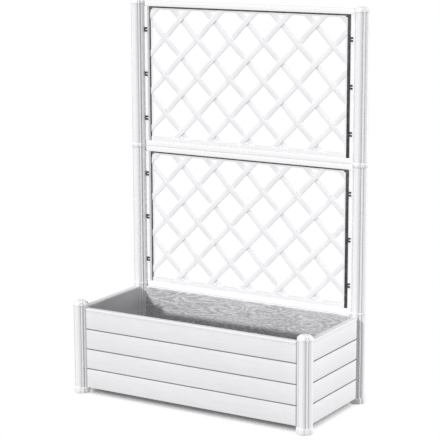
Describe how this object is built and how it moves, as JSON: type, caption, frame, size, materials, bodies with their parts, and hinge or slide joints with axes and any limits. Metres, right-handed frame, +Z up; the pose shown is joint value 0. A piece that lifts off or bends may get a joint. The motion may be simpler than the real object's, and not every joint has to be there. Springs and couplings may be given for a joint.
{
  "type": "planter with trellis",
  "caption": "Slatted white resin planter box on clover-section corner posts, with a tall diagonal-lattice trellis standing on the rear posts.",
  "frame": {"origin": "on the ground, under the middle of the planter box", "axes": "+Z up, the front of the box faces -Y, +X is along the box's length to the right when it is seen from the front"},
  "size_m": [0.9996, 0.4636, 1.4284],
  "materials": {
    "white_resin": "moulded white resin with a faint wood grain and a soft sheen",
    "box_floor": "plain moulded white resin",
    "seating_strip": "dark grey moulded strip, dull",
    "clip": "dark grey moulded clip, dull"
  },
  "bodies": {
    "root": {"floor_panel": "box_floor", "front_left_box_post": "white_resin", "front_left_cap": "white_resin", "front_left_foot": "white_resin", "front_panel": "white_resin", "front_right_box_post": "white_resin", "front_right_cap": "white_resin", "front_right_foot": "white_resin", "left_side_panel": "white_resin", "lower_bottom_rail": "white_resin", "lower_lattice": "white_resin", "lower_left_clip_1": "clip", "lower_left_clip_2": "clip", "lower_left_clip_3": "clip", "lower_left_stile": "white_resin", "lower_left_strip": "seating_strip", "lower_right_clip_1": "clip", "lower_right_clip_2": "clip", "lower_right_clip_3": "clip", "lower_right_stile": "white_resin", "lower_right_strip": "seating_strip", "lower_top_rail": "white_resin", "lower_top_strip": "seating_strip", "rear_left_box_post": "white_resin", "rear_left_collar": "white_resin", "rear_left_foot": "white_resin", "rear_left_middle_post": "white_resin", "rear_left_middle_ring": "white_resin", "rear_left_top_cap": "white_resin", "rear_left_upper_post": "white_resin", "rear_panel": "white_resin", "rear_right_box_post": "white_resin", "rear_right_collar": "white_resin", "rear_right_foot": "white_resin", "rear_right_middle_post": "white_resin", "rear_right_middle_ring": "white_resin", "rear_right_top_cap": "white_resin", "rear_right_upper_post": "white_resin", "right_side_panel": "white_resin", "upper_bottom_rail": "white_resin", "upper_lattice": "white_resin", "upper_left_clip_1": "clip", "upper_left_clip_2": "clip", "upper_left_clip_3": "clip", "upper_left_stile": "white_resin", "upper_left_strip": "seating_strip", "upper_right_clip_1": "clip", "upper_right_clip_2": "clip", "upper_right_clip_3": "clip", "upper_right_stile": "white_resin", "upper_right_strip": "seating_strip", "upper_top_rail": "white_resin", "upper_top_strip": "seating_strip"}
  },
  "joints": []
}
